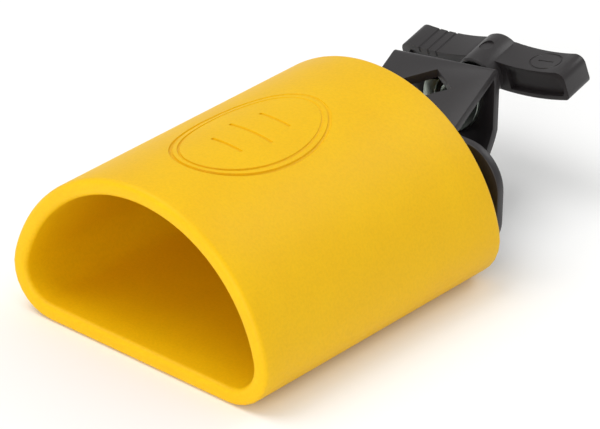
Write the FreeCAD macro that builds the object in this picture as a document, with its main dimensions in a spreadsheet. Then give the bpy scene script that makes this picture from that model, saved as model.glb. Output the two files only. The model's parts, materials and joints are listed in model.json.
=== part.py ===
import FreeCAD, Part
import Sketcher
import math
import os

# A block cowbell: a hollow moulded bell, open at the front, on a swivelling rod clamp.
# The frame's origin is the middle of the flat base; +Z is up and the mouth looks along -Y.
# The bracket's pieces are drawn upright round the swivel bolt and set over as a group;
# the clamp screw's pieces are drawn round the screw: X to the left, Y up, Z to the rear.

SIZES = {
    # moulded bell
    "bell_length": 111.0, "bell_height": 59.0, "bell_top_radius": 52.0, "bell_corner": 15.3,
    "wall": 5.5, "rim_round": 2.0, "rim_inner_round": 1.7, "rear_round": 3.0,
    # swivel point, over the base
    "swivel_height": 21.0,
    # rubber pad and base plate behind the rear wall
    "pad_half": 36.0, "pad_low": 9.0, "pad_top": 34.0, "pad_thick": 5.0, "pad_corner": 10.0,
    "plate_half": 44.0, "plate_low": 3.0, "plate_top": 40.0, "plate_gauge": 3.0, "plate_corner": 13.5,
    # the two screws that hold the plate on
    "screw_spacing": 29.0, "screw_radius": 2.5, "screw_head": 4.8, "screw_head_high": 2.8,
    "nut_corner": 4.6, "nut_high": 4.0, "small_washer": 6.0, "small_washer_thick": 1.0,
    # swivel bolt and what is on it
    "bolt_radius": 3.2, "bolt_bore": 3.26, "bolt_head": 7.0, "bolt_head_high": 3.2, "bolt_spare": 1.2,
    "bush_radius": 5.0, "backing_radius": 13.0, "backing_thick": 1.5,
    "friction_radius": 12.0, "friction_thick": 0.8, "swivel_gap": 0.1,
    "top_washer": 6.8, "top_washer_thick": 1.2, "spring_washer": 5.6, "spring_thick": 1.6,
    "lock_corner": 7.4, "lock_high": 4.2, "insert_radius": 4.9, "insert_high": 1.6,
    # strap: back is the distance behind the rear wall, rise the height over the swivel bolt
    "strap_width": 41.0, "strap_gauge": 2.4, "strap_front": 8.9, "shelf_rise": 8.9,
    "ridge_back": 38.3, "ridge_rise": 24.4, "leg_back": 38.1, "leg_rise": 18.0,
    "knee_rise": 4.0, "foot_rise": -12.4, "foot_radius": 32.0, "fold_round": 1.6,
    "rod_hole_half": 9.9, "rod_hole_reach": 5.3, "rod_hole_back": 27.6, "rod_hole_round": 2.0,
    # clamp screw, from the leg's outer face; the screw lies to the right of the strap's middle
    "screw_offset": 4.2, "screw_rise": 12.2,
    "thread_radius": 3.97, "thread_bore": 4.02, "dog_radius": 1.6, "dog_bore": 1.65, "tip_radius": 2.6,
    "boss_flange": 8.8, "boss_flange_thick": 2.2, "boss_radius": 6.0, "boss_high": 8.4,
    "rivet_radius": 5.6, "rivet_bore": 5.62, "joint_gap": 0.02,
    "seat_radius": 11.2, "seat_thick": 1.6, "seat_bore": 6.6, "seat_top": 4.5,
    "tip_front": -3.4, "dog_front": -2.8, "thread_front": -1.2, "tip_rear": -1.3,
    # wing handle; out is from the screw's axis, up is over it
    "hub_radius": 7.5, "hub_front": 9.2, "hub_rear": 25.2, "blade_front": 13.6, "blade_rear": 24.6,
    "hub_core": 6.4, "hub_core_deep": 4.2, "root_out": 5.6, "root_up": 4.9,
    "shoulder_out": 30.2, "shoulder_up": 5.0, "tip_out": 33.2, "tip_up": 1.6, "tip_low": -2.8,
    "lip_out": 31.0, "lip_up": -5.2, "keel_out": 4.6, "keel_up": -5.9,
    "dish_bow": 78.0, "nose_bow": 3.6, "lip_bow": 3.4, "keel_bow": 90.0, "thread_deep": 12.0,
}


def heights(start, steps):
    """Heights of a stack of pieces: each named height is the one before it plus a thickness."""
    levels = {}
    for name, thickness in steps:
        start += thickness
        levels[name] = start
    return levels


STRAP_TURN = 10.5      # degrees that the bracket is turned over on its bolt
SCREW_PITCH_UP = 13.0  # degrees that the screw's rear end rises

size = SIZES
leg_slope = math.tan(math.radians(SCREW_PITCH_UP))
SIZES.update({
    "knee_back": size["leg_back"] - (size["leg_rise"] - size["knee_rise"]) * leg_slope,
    "screw_back": size["leg_back"] - (size["leg_rise"] - size["screw_rise"]) * leg_slope,
})
SIZES.update(heights(0.0, [
    ("pad_rear", size["pad_thick"]), ("plate_rear", size["plate_gauge"]),
    ("friction_rear", size["friction_thick"])]))
SIZES.update(heights(size["strap_front"] + size["strap_gauge"] + size["swivel_gap"], [
    ("washer_front", 0.0), ("washer_rear", size["top_washer_thick"]),
    ("spring_rear", size["spring_thick"]), ("bolt_rear", size["bolt_head_high"])]))
SIZES.update(heights(0.0, [
    ("wall_inside", -size["wall"]), ("backing_inside", -size["backing_thick"]),
    ("lock_inside", -size["lock_high"]), ("insert_inside", -size["insert_high"]),
    ("bolt_inside", -size["bolt_spare"])]))
SIZES.update(heights(size["wall_inside"], [
    ("small_washer_inside", -size["small_washer_thick"]), ("nut_inside", -size["nut_high"]),
    ("screw_inside", -size["bolt_spare"])]))
SIZES.update(heights(size["plate_rear"], [("screw_rear", size["screw_head_high"])]))
# the clamp screw's own heights count to the rear from the leg's outer face
SIZES.update({
    "thread_rear": size["hub_front"] + size["thread_deep"],
    "rivet_front": -size["strap_gauge"],
    "flange_rear": size["joint_gap"] + size["boss_flange_thick"],
    "seat_front": -size["strap_gauge"] - size["joint_gap"] - size["seat_thick"],
    "inner_radius": size["bell_top_radius"] - size["wall"],
    "inner_corner": size["bell_corner"] - size["wall"],
    "inner_top": size["bell_height"] - size["wall"],
    "mouth": size["bell_length"] / 2,
    "rod_hole_front": size["rod_hole_back"] - size["rod_hole_reach"],
    "rod_hole_rear": size["rod_hole_back"] + size["rod_hole_reach"],
})
# where the bell's corner arcs touch its top arc and its flat base
side_centre = math.sqrt((size["bell_top_radius"] - size["bell_corner"]) ** 2
                        - (size["bell_corner"] - size["bell_height"] + size["bell_top_radius"]) ** 2)
crown = size["bell_height"] - size["bell_top_radius"]
lean = math.atan2(size["bell_corner"] - crown, side_centre)
SIZES.update({
    "base_half": side_centre,
    "side_out": size["bell_top_radius"] * math.cos(lean),
    "side_up": crown + size["bell_top_radius"] * math.sin(lean),
    "inner_side_out": size["inner_radius"] * math.cos(lean),
    "inner_side_up": crown + size["inner_radius"] * math.sin(lean),
})

doc = FreeCAD.newDocument("BlockCowbell")
sheet = doc.addObject("Spreadsheet::Sheet", "Sizes")
for row, (alias, number) in enumerate(SIZES.items(), start=1):
    sheet.set("A%d" % row, alias)
    sheet.set("B%d" % row, str(number))
    sheet.setAlias("B%d" % row, alias)
doc.recompute()

V = FreeCAD.Vector
REAR_WALL = SIZES["bell_length"] / 2
IDENTITY = FreeCAD.Placement()
BRACKET = FreeCAD.Placement(V(0, REAR_WALL, SIZES["swivel_height"]), FreeCAD.Rotation(V(0, 1, 0), -STRAP_TURN))
TO_REAR = FreeCAD.Placement(V(0, 0, 0), FreeCAD.Rotation(V(1, 0, 0), -90))
SWIVEL = FreeCAD.Placement(V(0, REAR_WALL, SIZES["swivel_height"]), FreeCAD.Rotation()).multiply(TO_REAR)
SCREW_SEAT = V(SIZES["screw_offset"], SIZES["screw_back"], SIZES["screw_rise"])
pitch = math.radians(SCREW_PITCH_UP)
SCREW_AXES = FreeCAD.Rotation(V(-1, 0, 0), V(0, -math.sin(pitch), math.cos(pitch)),
                              V(0, math.cos(pitch), math.sin(pitch)), "ZXY")
CLAMP = BRACKET.multiply(FreeCAD.Placement(SCREW_SEAT, SCREW_AXES))
LEG_AXES = FreeCAD.Rotation(V(-1, 0, 0), V(0, math.sin(pitch), math.cos(pitch)),
                            V(0, math.cos(pitch), -math.sin(pitch)), "ZXY")
LEG = BRACKET.multiply(FreeCAD.Placement(SCREW_SEAT, LEG_AXES))
nodes = {}


def number(text):
    """The value of an alias, with or without a minus sign, or of a plain zero."""
    if text == "0":
        return 0.0
    return -SIZES[text[1:]] if text.startswith("-") else SIZES[text]


def formula(text):
    """The same alias as the sheet knows it."""
    if text == "0":
        return "0"
    return "-Sizes." + text[1:] if text.startswith("-") else "Sizes." + text


def new_body(label, placement=IDENTITY):
    body = doc.addObject("PartDesign::Body", label)
    body.Label = label
    body.Placement = placement
    return body


def new_sketch(body, name, plane, offset=None):
    """A sketch on one of the body's own planes, moved along the plane's normal."""
    sketch = body.newObject("Sketcher::SketchObject", name)
    origin_plane = [item for item in body.Origin.OriginFeatures if item.Role == plane][0]
    sketch.AttachmentSupport = [(origin_plane, "")]
    sketch.MapMode = "FlatFace"
    if offset:
        sketch.setExpression("AttachmentOffset.Base.z", offset)
    return sketch


def bind(sketch, constraint, text):
    sketch.setExpression("Constraints[%d]" % sketch.addConstraint(constraint), text)


def draw_outline(sketch, corners, bows=None):
    """Closed outline through corners of (across, up) aliases; bows gives an edge a radius and a side."""
    bows = bows or {}
    points = [V(number(across), number(up), 0) for across, up in corners]
    ends = []
    for index, start in enumerate(points):
        stop = points[(index + 1) % len(points)]
        if index in bows:
            radius, side = bows[index]
            half = (stop - start).Length / 2
            rise = number(radius) - math.sqrt(number(radius) ** 2 - half ** 2)
            sideways = V(start.y - stop.y, stop.x - start.x, 0).normalize()
            middle = (start + stop) * 0.5 + sideways * rise * side
            first = 2 if side > 0 else 1
            arc_ends = (stop, start) if side > 0 else (start, stop)
            edge = sketch.addGeometry(Part.Arc(arc_ends[0], middle, arc_ends[1]))
            bind(sketch, Sketcher.Constraint("Radius", edge, number(radius)), formula(radius))
        else:
            first = 1
            edge = sketch.addGeometry(Part.LineSegment(start, stop))
        ends.append((edge, first, 3 - first))
    for index, (edge, first, last) in enumerate(ends):
        following = ends[(index + 1) % len(ends)]
        sketch.addConstraint(Sketcher.Constraint("Coincident", edge, last, following[0], following[1]))
        for kind, text, value in (("DistanceX", corners[index][0], points[index].x),
                                  ("DistanceY", corners[index][1], points[index].y)):
            bind(sketch, Sketcher.Constraint(kind, -1, 1, edge, first, value), formula(text))


def draw_circle(sketch, across, up, radius):
    circle = sketch.addGeometry(Part.Circle(V(number(across), number(up), 0), V(0, 0, 1), number(radius)))
    bind(sketch, Sketcher.Constraint("Radius", circle, number(radius)), formula(radius))
    bind(sketch, Sketcher.Constraint("DistanceX", -1, 1, circle, 3, number(across)), formula(across))
    bind(sketch, Sketcher.Constraint("DistanceY", -1, 1, circle, 3, number(up)), formula(up))


def extrude(body, kind, sketch, length, reverse=False, both_ways=False):
    """A pad or pocket of a sketch, checked to have changed the solid."""
    before = body.Tip.Shape.Volume if body.Tip else 0.0
    feature = body.newObject("PartDesign::" + kind, sketch.Name + kind)
    feature.Profile = sketch
    feature.setExpression("Length", length)
    feature.Reversed = reverse
    feature.Midplane = both_ways
    doc.recompute()
    if abs(feature.Shape.Volume - before) < 1.0:
        raise ValueError(feature.Name + " changed nothing")
    return feature


def round_edges(body, name, radius, wanted):
    """A fillet of the edges that a test picks out."""
    base = body.Tip
    picked = ["Edge%d" % (place + 1) for place, edge in enumerate(base.Shape.Edges) if wanted(edge)]
    fillet = body.newObject("PartDesign::Fillet", name)
    fillet.Base = (base, picked)
    fillet.setExpression("Radius", "Sizes." + radius)
    doc.recompute()
    return fillet


def turned(label, placement, corners):
    """A piece turned on a lathe: the outline is of (radius, height) aliases."""
    body = new_body(label, placement)
    sketch = new_sketch(body, label + "Outline", "XZ_Plane")
    draw_outline(sketch, corners)
    spin = body.newObject("PartDesign::Revolution", label + "Turning")
    spin.Profile = sketch
    spin.ReferenceAxis = (sketch, ["V_Axis"])
    spin.Angle = 360
    doc.recompute()
    return body


def edge_is(edge, test):
    return all(test(vertex.Point) for vertex in edge.Vertexes)


def draw_bell(sketch, side_out, side_up, base_half, floor, top, radius, corner):
    """The bell's D section: a top arc in two halves, two corner arcs and a flat base."""
    draw_outline(sketch, [("-" + base_half, floor), (base_half, floor), (side_out, side_up),
                          ("0", top), ("-" + side_out, side_up)],
                 {1: (corner, -1), 2: (radius, -1), 3: (radius, -1), 4: (corner, -1)})


# --- the bell: one moulded shell with a closed rear wall, bored for the swivel bolt and two screws
bell = new_body("block_shell")
bell_outline = new_sketch(bell, "BellOutline", "XZ_Plane")
draw_bell(bell_outline, "side_out", "side_up", "base_half", "0", "bell_height", "bell_top_radius",
          "bell_corner")
extrude(bell, "Pad", bell_outline, "Sizes.bell_length", both_ways=True)
mouth_y = -SIZES["mouth"]
round_edges(bell, "RearRound", "rear_round",
            lambda edge: edge_is(edge, lambda point: abs(point.y - SIZES["mouth"]) < 0.01))
round_edges(bell, "RimRound", "rim_round",
            lambda edge: edge_is(edge, lambda point: abs(point.y - mouth_y) < 0.01))
bell_cavity = new_sketch(bell, "BellCavity", "XZ_Plane", "Sizes.bell_length / 2")
draw_bell(bell_cavity, "inner_side_out", "inner_side_up", "base_half", "wall", "inner_top",
          "inner_radius", "inner_corner")
extrude(bell, "Pocket", bell_cavity, "Sizes.bell_length - Sizes.wall")
round_edges(bell, "MouthRound", "rim_inner_round",
            lambda edge: edge_is(edge, lambda point: abs(point.y - mouth_y) < 0.01
                                 and abs(point.x) < SIZES["inner_side_out"] + 0.5
                                 and SIZES["wall"] - 0.5 < point.z < SIZES["inner_top"] + 0.5))
bell_bores = new_sketch(bell, "BellBores", "XZ_Plane", "-Sizes.bell_length / 2 - 1")
draw_circle(bell_bores, "0", "swivel_height", "bush_radius")
for side in ("", "-"):
    draw_circle(bell_bores, side + "screw_spacing", "swivel_height", "screw_radius")
extrude(bell, "Pocket", bell_bores, "Sizes.wall * 2", reverse=True)
nodes["block_shell"] = bell


def drilled_sheet(label, half, low, top, corner, front, thickness, bore):
    """A flat sheet behind the rear wall, round at its corners, with the bolt's and the screws' bores."""
    body = new_body(label, FreeCAD.Placement(V(0, REAR_WALL, 0), FreeCAD.Rotation()))
    outline = new_sketch(body, label + "Outline", "XZ_Plane", "-" + formula(front) if front != "0" else None)
    draw_outline(outline, [("-" + half, low), (half, low), (half, top), ("-" + half, top)])
    draw_circle(outline, "0", "swivel_height", bore)
    for side in ("", "-"):
        draw_circle(outline, side + "screw_spacing", "swivel_height", "screw_radius")
    extrude(body, "Pad", outline, formula(thickness), reverse=True)
    round_edges(body, label + "Corners", corner,
                lambda edge: len(edge.Vertexes) == 2
                and abs(edge.Vertexes[0].Point.y - edge.Vertexes[1].Point.y) > 1
                and abs(abs(edge.Vertexes[0].Point.x) - number(half)) < 0.01)
    return body


nodes["isolator_pad"] = drilled_sheet("isolator_pad", "pad_half", "pad_low", "pad_top", "pad_corner",
                                      "0", "pad_thick", "bush_radius")
nodes["base_plate"] = drilled_sheet("base_plate", "plate_half", "plate_low", "plate_top", "plate_corner",
                                    "pad_rear", "plate_gauge", "bolt_radius")


def ring(label, placement, inner, outer, low, high):
    return turned(label, placement, [(inner, low), (outer, low), (outer, high), (inner, high)])


def hex_nut(label, placement, corner, bore, low, high):
    """A hexagonal nut between two heights, from a prism and a cylinder."""
    prism = doc.addObject("Part::Prism", label + "_prism")
    prism.Polygon = 6
    prism.setExpression("Circumradius", formula(corner))
    drill = doc.addObject("Part::Cylinder", label + "_bore")
    drill.setExpression("Radius", formula(bore))
    for item in (prism, drill):
        item.setExpression("Height", formula(high) + " - " + formula(low))
        item.setExpression("Placement.Base.z", formula(low))
    nut = doc.addObject("Part::Cut", label)
    nut.Base = prism
    nut.Tool = drill
    nut.Label = label
    nut.Placement = placement
    return nut


def pair(label, make):
    """Two like pieces, one at each plate screw, kept as one node."""
    group = doc.addObject("Part::Compound", label)
    members = []
    for side, across in (("left", -SIZES["screw_spacing"]), ("right", SIZES["screw_spacing"])):
        place = FreeCAD.Placement(V(across, 0, 0), FreeCAD.Rotation()).multiply(SWIVEL)
        members.append(make("%s_%s" % (label, side), place))
    group.Links = members
    group.Label = label
    return group


# --- two pan-head screws hold the plate and the pad on the bell
nodes["plate_screws"] = pair("plate_screws", lambda label, place: turned(label, place, [
    ("0", "screw_inside"), ("screw_radius", "screw_inside"), ("screw_radius", "plate_rear"),
    ("screw_head", "plate_rear"), ("screw_head", "screw_rear"), ("0", "screw_rear")]))
nodes["plate_washers"] = pair("plate_washers", lambda label, place: ring(
    label, place, "screw_radius", "small_washer", "small_washer_inside", "wall_inside"))
nodes["plate_nuts"] = pair("plate_nuts", lambda label, place: hex_nut(
    label, place, "nut_corner", "screw_radius", "nut_inside", "small_washer_inside"))

# --- the swivel bolt, its head in the strap's loop and its lock nut in the bell
nodes["swivel_bolt"] = turned("swivel_bolt", SWIVEL, [
    ("0", "bolt_inside"), ("bolt_radius", "bolt_inside"), ("bolt_radius", "spring_rear"),
    ("bolt_head", "spring_rear"), ("bolt_head", "bolt_rear"), ("0", "bolt_rear")])
nodes["wall_bush"] = ring("wall_bush", SWIVEL, "bolt_radius", "bush_radius", "wall_inside", "pad_rear")
nodes["backing_washer"] = ring("backing_washer", SWIVEL, "bolt_radius", "backing_radius",
                               "backing_inside", "wall_inside")
nodes["lock_nut"] = hex_nut("lock_nut", SWIVEL, "lock_corner", "bolt_radius", "lock_inside", "backing_inside")
nodes["lock_nut_insert"] = ring("lock_nut_insert", SWIVEL, "bolt_radius", "insert_radius",
                                "insert_inside", "lock_inside")
nodes["friction_washer"] = ring("friction_washer", SWIVEL, "bolt_radius", "friction_radius",
                                "plate_rear", "friction_rear")
nodes["bolt_washer"] = ring("bolt_washer", SWIVEL, "bolt_radius", "top_washer", "washer_front", "washer_rear")
nodes["spring_washer"] = ring("spring_washer", SWIVEL, "bolt_radius", "spring_washer",
                              "washer_rear", "spring_rear")

# --- the strap: one band bent into a closed loop, open at both sides, with a diamond rod hole
strap = new_body("clamp_strap", BRACKET)
band = new_sketch(strap, "StrapOutline", "YZ_Plane")
draw_outline(band, [("strap_front", "foot_rise"), ("knee_back", "knee_rise"), ("leg_back", "leg_rise"),
                    ("ridge_back", "ridge_rise"), ("strap_front", "shelf_rise")], {0: ("foot_radius", -1)})
extrude(strap, "Pad", band, "Sizes.strap_width", both_ways=True)
inner_band = doc.addObject("Part::Offset2D", "StrapInside")
inner_band.Source = band
inner_band.setExpression("Value", "-Sizes.strap_gauge")
inner_band.Join = 2
doc.recompute()
inside = doc.addObject("Part::Extrusion", "StrapHollow")
inside.Base = inner_band
inside.DirMode = "Custom"
inside.Dir = V(1, 0, 0)
inside.Solid = True
inside.Symmetric = True
inside.setExpression("LengthFwd", "Sizes.strap_width + 2")
inside.Placement = BRACKET
doc.recompute()
outer_corners = [(SIZES["strap_front"], SIZES["foot_rise"]), (SIZES["strap_front"], SIZES["shelf_rise"]),
                 (SIZES["ridge_back"], SIZES["ridge_rise"])]
round_edges(strap, "Folds", "fold_round",
            lambda edge: any(edge_is(edge, lambda point: math.hypot(point.y - back, point.z - rise) < 0.01)
                             for back, rise in outer_corners))
swivel_hole = new_sketch(strap, "SwivelHole", "XZ_Plane", "-Sizes.strap_front + 1")
draw_circle(swivel_hole, "0", "0", "bolt_bore")
extrude(strap, "Pocket", swivel_hole, "Sizes.strap_gauge + 2")
rod_hole = new_sketch(strap, "RodHole", "XY_Plane", "Sizes.foot_rise - 10")
draw_outline(rod_hole, [("-rod_hole_half", "rod_hole_back"), ("0", "rod_hole_front"),
                        ("rod_hole_half", "rod_hole_back"), ("0", "rod_hole_rear")])
extrude(strap, "Pocket", rod_hole, "Sizes.ridge_rise - Sizes.foot_rise + 20", reverse=True)
boss_hole = doc.addObject("Part::Cylinder", "boss_hole")
boss_hole.setExpression("Radius", "Sizes.rivet_bore")
boss_hole.setExpression("Height", "Sizes.strap_gauge * 4")
boss_hole.Placement = CLAMP.multiply(FreeCAD.Placement(V(0, 0, -3 * SIZES["strap_gauge"]), FreeCAD.Rotation()))
open_strap = doc.addObject("Part::Cut", "clamp_strap_open")
open_strap.Base = strap
open_strap.Tool = inside
bored_strap = doc.addObject("Part::Cut", "clamp_strap_bored")
bored_strap.Base = open_strap
bored_strap.Tool = boss_hole
nodes["clamp_strap"] = bored_strap

# --- the threaded boss, square to the screw and welded in the sloping leg; the seat plate, flat on
# the leg's inner face; and the screw with its tip pad
nodes["clamp_boss"] = turned("clamp_boss", CLAMP, [
    ("thread_bore", "rivet_front"), ("rivet_radius", "rivet_front"), ("rivet_radius", "joint_gap"),
    ("boss_flange", "joint_gap"), ("boss_flange", "flange_rear"), ("boss_radius", "flange_rear"),
    ("boss_radius", "boss_high"), ("thread_bore", "boss_high")])
seat = new_body("seat_plate", LEG)
seat_disc = new_sketch(seat, "SeatDisc", "XY_Plane", "Sizes.seat_front")
draw_circle(seat_disc, "0", "0", "seat_radius")
draw_circle(seat_disc, "0", "0", "seat_bore")
extrude(seat, "Pad", seat_disc, "Sizes.seat_thick")
seat_trim = new_sketch(seat, "SeatTrim", "XY_Plane", "Sizes.seat_front - 1")
draw_outline(seat_trim, [("-seat_radius", "seat_top"), ("seat_radius", "seat_top"),
                         ("seat_radius", "seat_radius"), ("-seat_radius", "seat_radius")])
extrude(seat, "Pocket", seat_trim, "Sizes.seat_thick + 2", reverse=True)
nodes["seat_plate"] = seat
nodes["tip_pad"] = turned("tip_pad", CLAMP, [
    ("0", "tip_front"), ("tip_radius", "tip_front"), ("tip_radius", "tip_rear"), ("dog_bore", "tip_rear"),
    ("dog_bore", "dog_front"), ("0", "dog_front")])
nodes["clamp_screw"] = turned("clamp_screw", CLAMP, [
    ("0", "dog_front"), ("dog_radius", "dog_front"), ("dog_radius", "thread_front"),
    ("thread_radius", "thread_front"), ("thread_radius", "thread_rear"), ("0", "thread_rear")])

# --- the wing handle, moulded on the screw: two blades on a hub, dished on top
WING = [("keel_out", "keel_up"), ("lip_out", "lip_up"), ("tip_out", "tip_low"), ("tip_out", "tip_up"),
        ("shoulder_out", "shoulder_up"), ("root_out", "root_up")]
other_wing = [("-" + out, up) for out, up in reversed(WING)]
WING_BOWS = {0: ("keel_bow", -1), 1: ("lip_bow", -1), 3: ("nose_bow", -1), 4: ("dish_bow", 1),
             6: ("dish_bow", 1), 7: ("nose_bow", -1), 9: ("lip_bow", -1), 10: ("keel_bow", -1)}
handle = new_body("wing_handle", CLAMP)
blades = new_sketch(handle, "Blades", "XY_Plane", "Sizes.blade_front")
draw_outline(blades, WING + other_wing, WING_BOWS)
extrude(handle, "Pad", blades, "Sizes.blade_rear - Sizes.blade_front")
hub = new_sketch(handle, "Hub", "XY_Plane", "Sizes.hub_front")
draw_circle(hub, "0", "0", "hub_radius")
extrude(handle, "Pad", hub, "Sizes.hub_rear - Sizes.hub_front")
hub_core = new_sketch(handle, "HubCore", "XY_Plane", "Sizes.hub_front")
draw_circle(hub_core, "0", "0", "hub_core")
extrude(handle, "Pocket", hub_core, "Sizes.hub_core_deep", reverse=True)
thread_seat = new_sketch(handle, "ThreadSeat", "XY_Plane", "Sizes.hub_front")
draw_circle(thread_seat, "0", "0", "thread_radius")
extrude(handle, "Pocket", thread_seat, "Sizes.thread_deep", reverse=True)
nodes["wing_handle"] = handle


def check_and_write():
    """Stops on any failed feature or bad solid, then writes each node's STEP file."""
    os.makedirs("parts", exist_ok=True)
    doc.recompute()
    for item in doc.Objects:
        if "Invalid" in item.State or "Error" in item.State:
            raise ValueError("%s: %s" % (item.Label, item.State))
    for label, item in nodes.items():
        item.Label = label
        if item.Shape.isNull() or not item.Shape.isValid():
            raise ValueError(label + " has no valid shape")
        item.Shape.exportStep("parts/%s.step" % label)
        print("%-18s solids %d volume %9.1f" % (label, len(item.Shape.Solids), item.Shape.Volume))


check_and_write()
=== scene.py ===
import json
import math

import bpy
from mathutils import Matrix, Vector


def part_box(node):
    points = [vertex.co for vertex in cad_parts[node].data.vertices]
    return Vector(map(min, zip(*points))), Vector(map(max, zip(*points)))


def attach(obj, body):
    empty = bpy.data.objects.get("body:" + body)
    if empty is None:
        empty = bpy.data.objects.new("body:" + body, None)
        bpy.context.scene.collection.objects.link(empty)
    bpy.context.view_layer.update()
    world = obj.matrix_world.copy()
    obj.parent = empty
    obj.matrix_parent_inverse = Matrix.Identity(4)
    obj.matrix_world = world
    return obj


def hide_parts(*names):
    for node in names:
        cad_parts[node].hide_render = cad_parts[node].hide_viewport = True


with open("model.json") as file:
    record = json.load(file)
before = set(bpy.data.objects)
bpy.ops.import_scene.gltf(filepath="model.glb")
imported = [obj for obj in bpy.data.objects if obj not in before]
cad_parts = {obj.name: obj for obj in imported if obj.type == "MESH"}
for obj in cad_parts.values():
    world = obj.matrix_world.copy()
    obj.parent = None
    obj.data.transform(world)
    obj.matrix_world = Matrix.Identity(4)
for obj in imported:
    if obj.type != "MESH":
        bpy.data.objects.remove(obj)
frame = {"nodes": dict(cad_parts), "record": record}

bl_info = {
    "name": "Block Cowbell",
    "version": (1, 0, 0),
    "blender": (4, 5, 0),
    "location": "View3D > Sidebar > Cowbell",
    "description": "Models the visible pieces of a block cowbell round its fixed frame",
    "category": "Object",
}

MM = 0.001
BELL_LOW, BELL_HIGH = (Vector(corner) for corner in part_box("block_shell"))
JOINTS = {joint["name"]: joint for joint in frame["record"]["behaviour"]["joints"]}
SCREW_FORWARD = Vector(JOINTS["handle_turn"]["axis"]).normalized()
SCREW_POINT = Vector(JOINTS["handle_turn"]["pos_m"])
STRAP_TURN = math.radians(10.5)


def clamp_place():
    """Where the clamp screw stands: X to the left, Y up and Z to the rear along the screw."""
    rear = -SCREW_FORWARD
    left = Vector((-math.cos(STRAP_TURN), 0, -math.sin(STRAP_TURN)))
    up = rear.cross(left).normalized()
    left = up.cross(rear)
    turn = Matrix((left, up, rear)).transposed().to_4x4()
    return Matrix.Translation(SCREW_POINT) @ turn


# ---------------------------------------------------------------- sizes and colours

class BellSizes(bpy.types.PropertyGroup):
    """Sizes of the moulded bell."""
    top_radius: bpy.props.FloatProperty(name="Top radius", description="Radius of the top arc",
                                        default=52 * MM, unit="LENGTH")
    corner_radius: bpy.props.FloatProperty(name="Corner radius", description="Radius beside the flat base",
                                           default=15.3 * MM, unit="LENGTH")
    wall: bpy.props.FloatProperty(name="Wall", description="Thickness of the wall",
                                  default=5.5 * MM, unit="LENGTH")
    draft: bpy.props.FloatProperty(name="Draft", description="How much smaller the closed end is",
                                   default=0.012, subtype="FACTOR")
    rim_round: bpy.props.FloatProperty(name="Rim rounding", description="Rounding of the mouth's edges",
                                       default=1.9 * MM, unit="LENGTH")
    oval_long: bpy.props.FloatProperty(name="Oval length", description="Half the length of the badge",
                                       default=29.5 * MM, unit="LENGTH")
    oval_wide: bpy.props.FloatProperty(name="Oval width", description="Half the width of the badge",
                                       default=19.0 * MM, unit="LENGTH")


class HandleSizes(bpy.types.PropertyGroup):
    """Sizes of the wing handle."""
    hub_radius: bpy.props.FloatProperty(name="Hub radius", description="Radius of the hub",
                                        default=7.4 * MM, unit="LENGTH")
    edge_round: bpy.props.FloatProperty(name="Edge rounding", description="Rounding of the blades' edges",
                                        default=0.9 * MM, unit="LENGTH")
    groove: bpy.props.FloatProperty(name="Groove", description="Radius of each finger groove",
                                    default=0.55 * MM, unit="LENGTH")


class Finishes(bpy.types.PropertyGroup):
    """Colours as sRGB hex."""
    bell: bpy.props.StringProperty(name="Bell", description="Moulded bell", default="#EFBE00")
    bell_shade: bpy.props.StringProperty(name="Bell, darker", description="Darker flecks", default="#E6B200")
    steel_coat: bpy.props.StringProperty(name="Coated steel", description="Black coat", default="#262224")
    handle: bpy.props.StringProperty(name="Handle", description="Moulded handle", default="#252122")
    zinc: bpy.props.StringProperty(name="Zinc", description="Zinc plate", default="#B4BDB4")


# ---------------------------------------------------------------- materials

# Cloudy patches as wide as a thumb, a little spread in sheen, and the IOR that plastics and coats share.
PATCH_MM = 18
SHEEN_SPREAD = 0.06
PLAIN_IOR = 1.5


def linear(text):
    """An sRGB hex colour as linear red, green, blue and alpha."""
    parts = [int(text[place:place + 2], 16) / 255 for place in (1, 3, 5)]
    lit = [part / 12.92 if part <= 0.04045 else ((part + 0.055) / 1.055) ** 2.4 for part in parts]
    return (*lit, 1)


def add_node(tree, kind, settings=None, inputs=None, links=None):
    """A shader node with its settings, its plain inputs and the sockets linked into it."""
    node = tree.nodes.new(kind)
    for name, value in (settings or {}).items():
        setattr(node, name, value)
    for name, value in (inputs or {}).items():
        node.inputs[name].default_value = value
    for name, socket in (links or {}).items():
        tree.links.new(socket, node.inputs[name])
    return node


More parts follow.
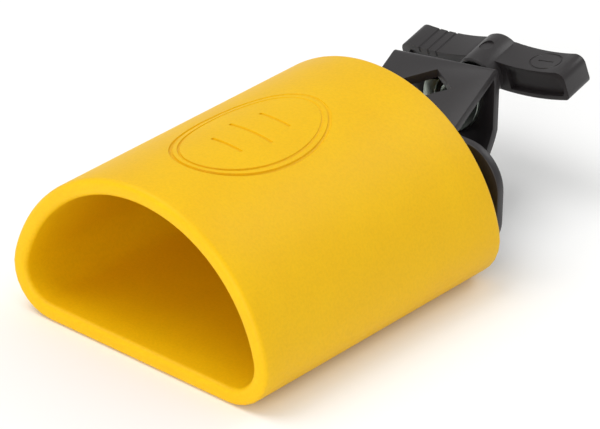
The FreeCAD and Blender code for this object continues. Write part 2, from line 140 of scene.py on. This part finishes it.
def surface(name, light, dark, grain_mm, bump_mm, roughness, metallic=0.0, stretch=(1, 1, 1), **more):
    """A finish whose colour and roughness vary in patches and whose surface has grain of a real size."""
    made = bpy.data.materials.new(name)
    made.use_nodes = True
    tree = made.node_tree
    tree.nodes.clear()
    where = add_node(tree, "ShaderNodeTexCoord")
    laid = add_node(tree, "ShaderNodeMapping", inputs={"Scale": stretch},
                    links={"Vector": where.outputs["Object"]})
    patches = add_node(tree, "ShaderNodeTexNoise", inputs={"Scale": 1 / (PATCH_MM * MM), "Detail": 4.0},
                       links={"Vector": laid.outputs["Vector"]})
    grain = add_node(tree, "ShaderNodeTexNoise", inputs={"Scale": 1 / (grain_mm * MM), "Detail": 3.0,
                                                         "Roughness": 0.55},
                     links={"Vector": laid.outputs["Vector"]})
    mixed = add_node(tree, "ShaderNodeMix", {"data_type": "RGBA"},
                     links={"Factor": patches.outputs["Fac"]})
    mixed.inputs[6].default_value = linear(dark)
    mixed.inputs[7].default_value = linear(light)
    flecks = add_node(tree, "ShaderNodeValToRGB", links={"Fac": grain.outputs["Fac"]})
    flecks.color_ramp.elements[0].color = (0.95, 0.95, 0.95, 1)
    flecks.color_ramp.elements[0].position = 0.35
    flecks.color_ramp.elements[1].position = 0.6
    shaded = add_node(tree, "ShaderNodeMix", {"data_type": "RGBA", "blend_type": "MULTIPLY"})
    shaded.inputs["Factor"].default_value = 1.0
    tree.links.new(mixed.outputs[2], shaded.inputs[6])
    tree.links.new(flecks.outputs["Color"], shaded.inputs[7])
    wear = add_node(tree, "ShaderNodeMapRange",
                    inputs={"To Min": roughness - SHEEN_SPREAD, "To Max": roughness + SHEEN_SPREAD},
                    links={"Value": patches.outputs["Fac"]})
    bump = add_node(tree, "ShaderNodeBump", inputs={"Strength": 0.5, "Distance": bump_mm * MM},
                    links={"Height": grain.outputs["Fac"]})
    shader = add_node(tree, "ShaderNodeBsdfPrincipled", inputs={"Metallic": metallic, "IOR": PLAIN_IOR, **more},
                      links={"Base Color": shaded.outputs[2], "Roughness": wear.outputs["Result"],
                             "Normal": bump.outputs["Normal"]})
    add_node(tree, "ShaderNodeOutputMaterial", links={"Surface": shader.outputs["BSDF"]})
    return made


def moulded_polyethylene():
    """Injection-moulded plastic from a spark-textured tool: a soft sheen broken by a fine pebble grain."""
    looks = bpy.context.scene.cowbell_finishes
    return surface("moulded_polyethylene", looks.bell, looks.bell_shade, 0.9, 0.10, 0.50,
                   **{"Specular IOR Level": 0.22, "Subsurface Weight": 0.08, "Subsurface Scale": 0.002,
                      "Subsurface Radius": (1.0, 0.6, 0.1)})


def powder_coated_steel():
    """Black powder coat: a slight orange peel of about a millimetre and a low, broad sheen."""
    looks = bpy.context.scene.cowbell_finishes
    return surface("powder_coated_steel", looks.steel_coat, "#1F1C1D", 0.8, 0.06, 0.42)


def glass_filled_nylon():
    """Moulded nylon with glass fibre: dark, satin, with faint cloudy patches."""
    looks = bpy.context.scene.cowbell_finishes
    return surface("glass_filled_nylon", looks.handle, "#1F1C1D", 0.5, 0.03, 0.40)


def zinc_plated_steel():
    """Bright zinc plate over turned steel: a grey-green metal with fine turning marks."""
    looks = bpy.context.scene.cowbell_finishes
    return surface("zinc_plated_steel", looks.zinc, "#9AA39A", 0.4, 0.02, 0.34, metallic=1.0, stretch=(1, 4, 1))


def bright_steel():
    """Plain fastener steel: a cool grey metal, lightly scuffed."""
    return surface("bright_steel", "#B8B8BA", "#98989B", 0.5, 0.02, 0.32, metallic=1.0)


def nitrile_rubber():
    """Moulded rubber sheet: near black and matt, with a fine tooth."""
    return surface("nitrile_rubber", "#242324", "#1B1A1B", 0.6, 0.05, 0.75)


def natural_nylon():
    """Unfilled nylon: off-white, waxy and a little translucent."""
    return surface("natural_nylon", "#DEDBCF", "#CCC8BA", 0.6, 0.02, 0.38,
                   **{"Subsurface Weight": 0.15, "Subsurface Scale": 0.001})


FINISH_OF_SLOT = {
    "bell_plastic": moulded_polyethylene, "black_steel": powder_coated_steel, "zinc": zinc_plated_steel,
    "steel": bright_steel, "rubber": nitrile_rubber, "nylon": natural_nylon,
    "handle_plastic": glass_filled_nylon,
}


def finish(slot):
    """The material of one of the record's slots, made once."""
    maker = FINISH_OF_SLOT[slot]
    return bpy.data.materials.get(maker.__name__) or maker()


def dress(piece, slot):
    """Gives a piece one slot's finish and no other."""
    piece.data.materials.clear()
    piece.data.materials.append(finish(slot))


# ---------------------------------------------------------------- modelling helpers

def select_only(piece):
    bpy.ops.object.select_all(action="DESELECT")
    piece.select_set(True)
    bpy.context.view_layer.objects.active = piece


def edit(piece, work):
    """Runs edit-mode work on one piece."""
    select_only(piece)
    bpy.ops.object.mode_set(mode="EDIT")
    work()
    bpy.ops.object.mode_set(mode="OBJECT")


def apply_modifier(piece, kind, **settings):
    select_only(piece)
    modifier = piece.modifiers.new(kind.title(), kind)
    for name, value in settings.items():
        setattr(modifier, name, value)
    bpy.ops.object.modifier_apply(modifier=modifier.name)


def smooth(piece, degrees=38):
    select_only(piece)
    bpy.ops.object.shade_smooth_by_angle(angle=math.radians(degrees))


def settle(piece):
    """Leaves the piece's place in its mesh and its object at the origin."""
    select_only(piece)
    bpy.ops.object.transform_apply(location=True, rotation=True, scale=True)


def lofted(name, rings, closed_start, closed_end):
    """A skin through rings of points: a circle is laid on the first ring and extruded to each next one."""
    bpy.ops.object.select_all(action="DESELECT")
    bpy.ops.mesh.primitive_circle_add(vertices=len(rings[0]), fill_type="NOTHING")
    piece = bpy.context.object
    piece.name = piece.data.name = name
    order = {place: place for place in range(len(rings[0]))}
    for place, point in enumerate(rings[0]):
        piece.data.vertices[place].co = point
    if closed_start:
        edit(piece, lambda: (bpy.ops.mesh.select_all(action="SELECT"), bpy.ops.mesh.edge_face_add(),
                             bpy.ops.mesh.select_mode(type="EDGE")))
    for before, ring in zip(rings, rings[1:]):
        first_new = len(piece.data.vertices)
        select_vertices(piece, set(order))
        edit(piece, lambda: bpy.ops.mesh.extrude_edges_move())
        fresh = range(first_new, len(piece.data.vertices))
        order = {new: nearest(before, piece.data.vertices[new].co) for new in fresh}
        for new, place in order.items():
            piece.data.vertices[new].co = ring[place]
    if closed_end:
        select_vertices(piece, set(order))
        edit(piece, lambda: bpy.ops.mesh.edge_face_add())
    edit(piece, lambda: (bpy.ops.mesh.select_all(action="SELECT"),
                         bpy.ops.mesh.normals_make_consistent(inside=False)))
    return piece


def nearest(points, target):
    """The place in a list of the point closest to a target."""
    return min(range(len(points)), key=lambda place: (points[place] - target).length_squared)


def select_vertices(piece, wanted):
    """Selects the given vertices and the edges between them."""
    for polygon in piece.data.polygons:
        polygon.select = False
    for edge in piece.data.edges:
        edge.select = set(edge.vertices) <= wanted
    for vertex in piece.data.vertices:
        vertex.select = vertex.index in wanted


def outline_points(corners, steps):
    """Points along straight and bowed edges: each corner gives the rise of the edge that follows it."""
    points = []
    for place, (across, up, rise) in enumerate(corners):
        start = Vector((across, up))
        stop = Vector(corners[(place + 1) % len(corners)][:2])
        sideways = Vector((start.y - stop.y, stop.x - start.x)).normalized()
        for step in range(steps):
            part = step / steps
            points.append(start.lerp(stop, part) + sideways * rise * 4 * part * (1 - part))
    return points


def cut_away(piece, cutter):
    """Cuts one piece's volume out of another and removes the cutter."""
    apply_modifier(piece, "BOOLEAN", operation="DIFFERENCE", solver="EXACT", object=cutter)
    bpy.data.objects.remove(cutter)


def tube_along(name, points, radius, cyclic):
    """A round tube along points, as a mesh."""
    curve = bpy.data.curves.new(name, "CURVE")
    curve.dimensions = "3D"
    curve.bevel_depth = radius
    curve.bevel_resolution = 2
    curve.use_fill_caps = True
    spline = curve.splines.new("POLY")
    spline.points.add(len(points) - 1)
    for place, point in zip(spline.points, points):
        place.co = (*point, 1)
    spline.use_cyclic_u = cyclic
    tube = bpy.data.objects.new(name, curve)
    bpy.context.collection.objects.link(tube)
    select_only(tube)
    bpy.ops.object.convert(target="MESH")
    return bpy.context.object


def join(pieces):
    """Makes several meshes one."""
    select_only(pieces[0])
    for piece in pieces[1:]:
        piece.select_set(True)
    bpy.ops.object.join()
    return bpy.context.object


# ---------------------------------------------------------------- the bell

def bell_ring(sizes, inset, along, shrink, arc_steps=40):
    """The bell's D outline, inset all round, at a place along the bell; it shrinks over the flat base."""
    height = BELL_HIGH.z - BELL_LOW.z
    crown = height - sizes.top_radius
    side = math.sqrt((sizes.top_radius - sizes.corner_radius) ** 2 - (sizes.corner_radius - crown) ** 2)
    lean = math.atan2(sizes.corner_radius - crown, side)
    outer, corner = sizes.top_radius - inset, sizes.corner_radius - inset
    points = []
    for step in range(arc_steps * 2 + 1):
        angle = lean + (math.pi - 2 * lean) * step / (arc_steps * 2)
        points.append((outer * math.cos(angle), crown + outer * math.sin(angle)))
    for step in range(1, 9):
        angle = math.pi - lean + (math.pi / 2 + lean) * step / 8
        points.append((-side + corner * math.cos(angle), sizes.corner_radius + corner * math.sin(angle)))
    for step in range(1, 12):
        points.append((-side + 2 * side * step / 12, inset))
    for step in range(8):
        angle = -math.pi / 2 + (math.pi / 2 + lean) * step / 8
        points.append((side + corner * math.cos(angle), sizes.corner_radius + corner * math.sin(angle)))
    return [Vector((across * shrink, along, up * shrink)) for across, up in points]


def badge_tubes(sizes):
    """Cutters for the badge on the bell's top: two fine ovals and a plain pattern of bars, no lettering."""
    crown = BELL_HIGH.z - BELL_LOW.z - sizes.top_radius
    middle, ring_gap, bar_step = -5 * MM, 2.4 * MM, 11 * MM

    def on_top(across, along):
        turn = across / sizes.top_radius
        skin = sizes.top_radius * (1 - sizes.draft / 2)
        return Vector((skin * math.sin(turn), middle + along, crown + skin * math.cos(turn)))

    def oval(inset):
        return [on_top((sizes.oval_wide - inset) * math.sin(2 * math.pi * step / 96),
                       (sizes.oval_long - inset) * math.cos(2 * math.pi * step / 96)) for step in range(96)]

    tubes = [tube_along("badge_cut", oval(0.0), 0.7 * MM, True),
             tube_along("badge_cut", oval(ring_gap), 0.5 * MM, True)]
    for place in (-1, 0, 1):
        half = (8.5 if place == 0 else 6.0) * MM
        bar = [on_top(half * (step / 4 - 1), place * bar_step) for step in range(9)]
        tubes.append(tube_along("badge_cut", bar, 0.7 * MM, False))
    return join(tubes)


class COWBELL_OT_bell_shell(bpy.types.Operator):
    """The moulded bell: wall, mouth, closed end, rounded rims and engraved badge"""
    bl_idname = "cowbell.bell_shell"
    bl_label = "Bell shell"

    def execute(self, context):
        sizes = context.scene.cowbell_bell
        mouth, rear = BELL_LOW.y, BELL_HIGH.y
        stations = 10
        outer, inner = [], []
        for step in range(stations + 1):
            part = step / stations
            shrink = 1 - sizes.draft * part
            outer.append(bell_ring(sizes, 0.0, mouth + (rear - mouth) * part, shrink))
            inner.append(bell_ring(sizes, sizes.wall, mouth + (rear - sizes.wall - mouth) * part, shrink))
        rings = list(reversed(outer)) + inner
        piece = lofted("bell_shell", rings, True, True)
        apply_modifier(piece, "BEVEL", width=sizes.rim_round, segments=5, limit_method="ANGLE",
                       angle_limit=math.radians(50))
        cut_away(piece, badge_tubes(sizes))
        smooth(piece, 35)
        dress(piece, "bell_plastic")
        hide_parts("block_shell")
        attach(piece, "bell")
        return {"FINISHED"}


# ---------------------------------------------------------------- the wing handle

BLADE_FRONT, BLADE_REAR = 13.6 * MM, 24.6 * MM
DISH_INNER, DISH_OUTER, DISH_DEPTH = (5.6, 4.9), (30.2, 5.0), 1.0


def dish_height(out):
    """Height of the blades' dished top face, in millimetres, at a distance out from the screw."""
    part = (out - DISH_INNER[0]) / (DISH_OUTER[0] - DISH_INNER[0])
    return DISH_INNER[1] + (DISH_OUTER[1] - DISH_INNER[1]) * part - 4 * DISH_DEPTH * part * (1 - part)


def wing_outline():
    """Both blades, dished on top, from (out, up, rise of the next edge); one side mirrors the other."""
    wing = [(4.6, -5.9, -1.0), (31.0, -5.2, -0.75), (33.2, -2.8, 0.0), (33.2, 1.6, -1.1),
            (*DISH_OUTER, DISH_DEPTH), (*DISH_INNER, 0.0)]
    rises = [rise for out, up, rise in wing]
    mirrored = [(-out, up) for out, up, rise in reversed(wing)]
    both = wing + [(out, up, rise) for (out, up), rise in zip(mirrored, list(reversed(rises[:-1])) + [0.0])]
    return [point * MM for point in outline_points(both, 10)]


class COWBELL_OT_wing_handle(bpy.types.Operator):
    """The wing handle: two blades on a hub, with finger grooves, a cored pocket and a plain oval mark"""
    bl_idname = "cowbell.wing_handle"
    bl_label = "Wing handle"

    def execute(self, context):
        sizes = context.scene.cowbell_handle
        outline = wing_outline()
        rings = [[Vector((point.x, point.y, depth)) for point in outline]
                 for depth in (BLADE_FRONT, BLADE_REAR)]
        piece = lofted("wing_handle_body", rings, True, True)
        hub = self.hub(sizes)
        apply_modifier(piece, "BOOLEAN", operation="UNION", solver="EXACT", object=hub)
        bpy.data.objects.remove(hub)
        apply_modifier(piece, "BEVEL", width=sizes.edge_round, segments=3, limit_method="ANGLE",
                       angle_limit=math.radians(42))
        cut_away(piece, self.grooves(sizes))
        for side in (-1, 1):
            cut_away(piece, self.pocket(side))
        cut_away(piece, self.oval_mark())
        cut_away(piece, self.dimple())
        piece.data.transform(clamp_place())
        smooth(piece, 35)
        dress(piece, "handle_plastic")
        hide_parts("wing_handle")
        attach(piece, "handle")
        return {"FINISHED"}

    def hub(self, sizes):
        """A turned hub with a domed rear end and a cored front."""
        front, rear, core, core_rear = 9.2 * MM, 25.1 * MM, 6.4 * MM, 13.4 * MM
        profile = [(core, core_rear), (core, front), (sizes.hub_radius - 0.6 * MM, front),
                   (sizes.hub_radius, front + 0.6 * MM), (sizes.hub_radius, rear - 1.2 * MM),
                   (sizes.hub_radius - 0.5 * MM, rear - 0.3 * MM), (sizes.hub_radius - 1.4 * MM, rear)]
        count = 64
        rings = [[Vector((radius * math.cos(2 * math.pi * step / count),
                          radius * math.sin(2 * math.pi * step / count), depth)) for step in range(count)]
                 for radius, depth in profile]
        return lofted("wing_hub", rings, True, True)

    def grooves(self, sizes):
        """Three finger grooves across the left blade's top, running down its front face too."""
        first, step, front = 18.6, 3.4, BLADE_FRONT / MM - 0.1
        tubes = []
        for place in range(3):
            out = first + step * place
            up = dish_height(out) + 0.15
            run = [Vector((out, -6, front)), Vector((out, up, front)), Vector((out, up, 29))]
            tubes.append(tube_along("groove_cut", [point * MM for point in run], sizes.groove, False))
        return join(tubes)

    def pocket(self, side):
        """A shallow recess in the blade's front face, leaving a lip round it."""
        corners = [(9.4, -5.1, -0.5), (30.2, -3.9, -0.3), (31.8, -1.4, -0.2), (29.6, 2.9, 0.9),
                   (9.4, 2.9, 0.0)]
        outline = [point * MM for point in outline_points(corners, 6)]
        if side < 0:
            outline = [Vector((-point.x, point.y)) for point in reversed(outline)]
        rings = [[Vector((point.x, point.y, depth)) for point in outline]
                 for depth in (BLADE_FRONT - 2 * MM, BLADE_FRONT + 1.6 * MM)]
        return lofted("pocket_cut", rings, True, True)

    def oval_mark(self):
        """A fine plain oval with a bar in it, on the right blade's dished top."""
        middle_out, middle_depth, half_out, half_depth, width = 22.0, 19.2, 5.8, 4.0, 0.35 * MM

        def on_dish(out, depth):
            return Vector((-out, dish_height(out) + 0.05, depth)) * MM

        points = []
        for step in range(48):
            angle = 2 * math.pi * step / 48
            points.append(on_dish(middle_out + half_out * math.cos(angle),
                                  middle_depth + half_depth * math.sin(angle)))
        bar = [on_dish(middle_out + across, middle_depth) for across in (-3, 0, 3)]
        return join([tube_along("oval_cut", points, width, True), tube_along("oval_cut", bar, width, False)])

    def dimple(self):
        """A round gate dimple on top of the hub."""
        bpy.ops.object.select_all(action="DESELECT")
        bpy.ops.mesh.primitive_cylinder_add(vertices=40, radius=2.4 * MM, depth=1.6 * MM)
        cutter = bpy.context.object
        cutter.rotation_euler = (math.pi / 2, 0, 0)
        cutter.location = (0, 7.6 * MM, 17.6 * MM)
        settle(cutter)
        return cutter


# ---------------------------------------------------------------- sheet metal and fasteners

def softened(node, name, body, slot, width):
    """A merged copy of a CAD node with its edges broken, riding in its place."""
    source = frame["nodes"][node]
    piece = source.copy()
    piece.data = source.data.copy()
    piece.name = piece.data.name = name
    bpy.context.collection.objects.link(piece)
    edit(piece, lambda: (bpy.ops.mesh.select_all(action="SELECT"),
                         bpy.ops.mesh.remove_doubles(threshold=0.002 * MM),
                         bpy.ops.mesh.dissolve_limited(angle_limit=math.radians(1.0))))
    apply_modifier(piece, "BEVEL", width=width, segments=2, limit_method="ANGLE",
                   angle_limit=math.radians(40), use_clamp_overlap=True)
    smooth(piece)
    dress(piece, slot)
    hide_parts(node)
    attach(piece, body)


class COWBELL_OT_clamp_strap(bpy.types.Operator):
    """The bent strap, with its sheared edges slightly broken"""
    bl_idname = "cowbell.clamp_strap"
    bl_label = "Clamp strap"

    def execute(self, context):
        softened("clamp_strap", "clamp_strap_bent", "bracket", "black_steel", 0.35 * MM)
        return {"FINISHED"}


class COWBELL_OT_base_plate(bpy.types.Operator):
    """The base plate behind the bell and the rubber pad under it"""
    bl_idname = "cowbell.base_plate"
    bl_label = "Base plate"

    def execute(self, context):
        softened("base_plate", "base_plate_blanked", "bell", "black_steel", 0.5 * MM)
        softened("isolator_pad", "isolator_pad_cut", "bell", "rubber", 0.4 * MM)
        return {"FINISHED"}


class COWBELL_OT_fasteners(bpy.types.Operator):
    """Bolts, nuts, washers, boss and seat plate, with their edges broken"""
    bl_idname = "cowbell.fasteners"
    bl_label = "Fasteners"

    def execute(self, context):
        for node, body, slot, width in (
                ("plate_screws", "bell", "steel", 0.5), ("plate_nuts", "bell", "steel", 0.3),
                ("swivel_bolt", "bell", "steel", 0.6), ("lock_nut", "bell", "steel", 0.4),
                ("backing_washer", "bell", "steel", 0.25), ("clamp_boss", "bracket", "zinc", 0.4),
                ("seat_plate", "bracket", "zinc", 0.3)):
            softened(node, node + "_turned", body, slot, width * MM)
        for subpart in frame["record"]["subparts"]:
            dress(frame["nodes"][subpart["node"]], subpart["material_slot"])
        return {"FINISHED"}


# ---------------------------------------------------------------- the stage

LAMP_TARGET = Vector((0, 0.02, 0.03))
CAMERA_PLACE, CAMERA_LENS = Vector((1.0778, -1.2629, 0.9588)), 376.4
CAMERA_RIGHT, CAMERA_UP = Vector((0.7571, 0.6529, 0.0223)), Vector((-0.3341, 0.3577, 0.8721))


class COWBELL_OT_stage(bpy.types.Operator):
    """A plain pale floor, soft light and the camera"""
    bl_idname = "cowbell.stage"
    bl_label = "Stage"

    def execute(self, context):
        scene = context.scene
        scene.view_settings.view_transform = "Standard"
        bpy.ops.object.select_all(action="DESELECT")
        bpy.ops.mesh.primitive_plane_add(size=12)
        floor = context.object
        floor.name = "floor"
        floor_paint = bpy.data.materials.new("pale_paper")
        floor_paint.use_nodes = True
        floor_shader = floor_paint.node_tree.nodes["Principled BSDF"]
        floor_shader.inputs["Base Color"].default_value = linear("#FBFBFA")
        floor_shader.inputs["Roughness"].default_value = 0.9
        floor.data.materials.append(floor_paint)
        world = scene.world or bpy.data.worlds.new("studio")
        scene.world = world
        world.use_nodes = True
        world.node_tree.nodes["Background"].inputs["Color"].default_value = (1, 1, 1, 1)
        world.node_tree.nodes["Background"].inputs["Strength"].default_value = 0.62
        self.lamp("key", (-0.45, -0.35, 1.25), 0.9, 8.0)
        self.lamp("mouth_fill", (0.55, -1.5, 0.45), 0.9, 11.0)
        self.lamp("rear", (0.3, 1.2, 1.0), 0.7, 4.0)
        self.camera(scene)
        return {"FINISHED"}

    def lamp(self, name, place, width, power):
        bpy.ops.object.light_add(type="AREA", location=place)
        lamp = bpy.context.object
        lamp.name = name
        lamp.data.size = width
        lamp.data.energy = power
        lamp.rotation_euler = (LAMP_TARGET - Vector(place)).to_track_quat("-Z", "Y").to_euler()

    def camera(self, scene):
        bpy.ops.object.camera_add()
        camera = bpy.context.object
        back = CAMERA_RIGHT.cross(CAMERA_UP).normalized()
        up = back.cross(CAMERA_RIGHT).normalized()
        turn = Matrix((CAMERA_RIGHT.normalized(), up, back)).transposed().to_4x4()
        camera.matrix_world = Matrix.Translation(CAMERA_PLACE) @ turn
        camera.data.sensor_width = 36
        camera.data.lens = CAMERA_LENS
        scene.camera = camera


class COWBELL_PT_pieces(bpy.types.Panel):
    """Lists the cowbell's pieces"""
    bl_label = "Cowbell"
    bl_space_type = "VIEW_3D"
    bl_region_type = "UI"
    bl_category = "Cowbell"

    def draw(self, context):
        for group in SETTINGS:
            settings = getattr(context.scene, group)
            for name in settings.__annotations__:
                self.layout.prop(settings, name)
        for operator in OPERATORS:
            self.layout.operator(operator.bl_idname)


SETTINGS = {"cowbell_bell": BellSizes, "cowbell_handle": HandleSizes, "cowbell_finishes": Finishes}
OPERATORS = (COWBELL_OT_stage, COWBELL_OT_bell_shell, COWBELL_OT_wing_handle, COWBELL_OT_clamp_strap,
             COWBELL_OT_base_plate, COWBELL_OT_fasteners)
CLASSES = tuple(SETTINGS.values()) + OPERATORS + (COWBELL_PT_pieces,)


def register():
    for kind in CLASSES:
        bpy.utils.register_class(kind)
    for name, kind in SETTINGS.items():
        setattr(bpy.types.Scene, name, bpy.props.PointerProperty(type=kind))


def unregister():
    for name in SETTINGS:
        delattr(bpy.types.Scene, name)
    for kind in reversed(CLASSES):
        bpy.utils.unregister_class(kind)


def main():
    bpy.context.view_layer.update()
    register()
    bpy.ops.cowbell.stage()
    bpy.ops.cowbell.bell_shell()
    bpy.ops.cowbell.wing_handle()
    bpy.ops.cowbell.clamp_strap()
    bpy.ops.cowbell.base_plate()
    bpy.ops.cowbell.fasteners()


if __name__ == "__main__":
    main()
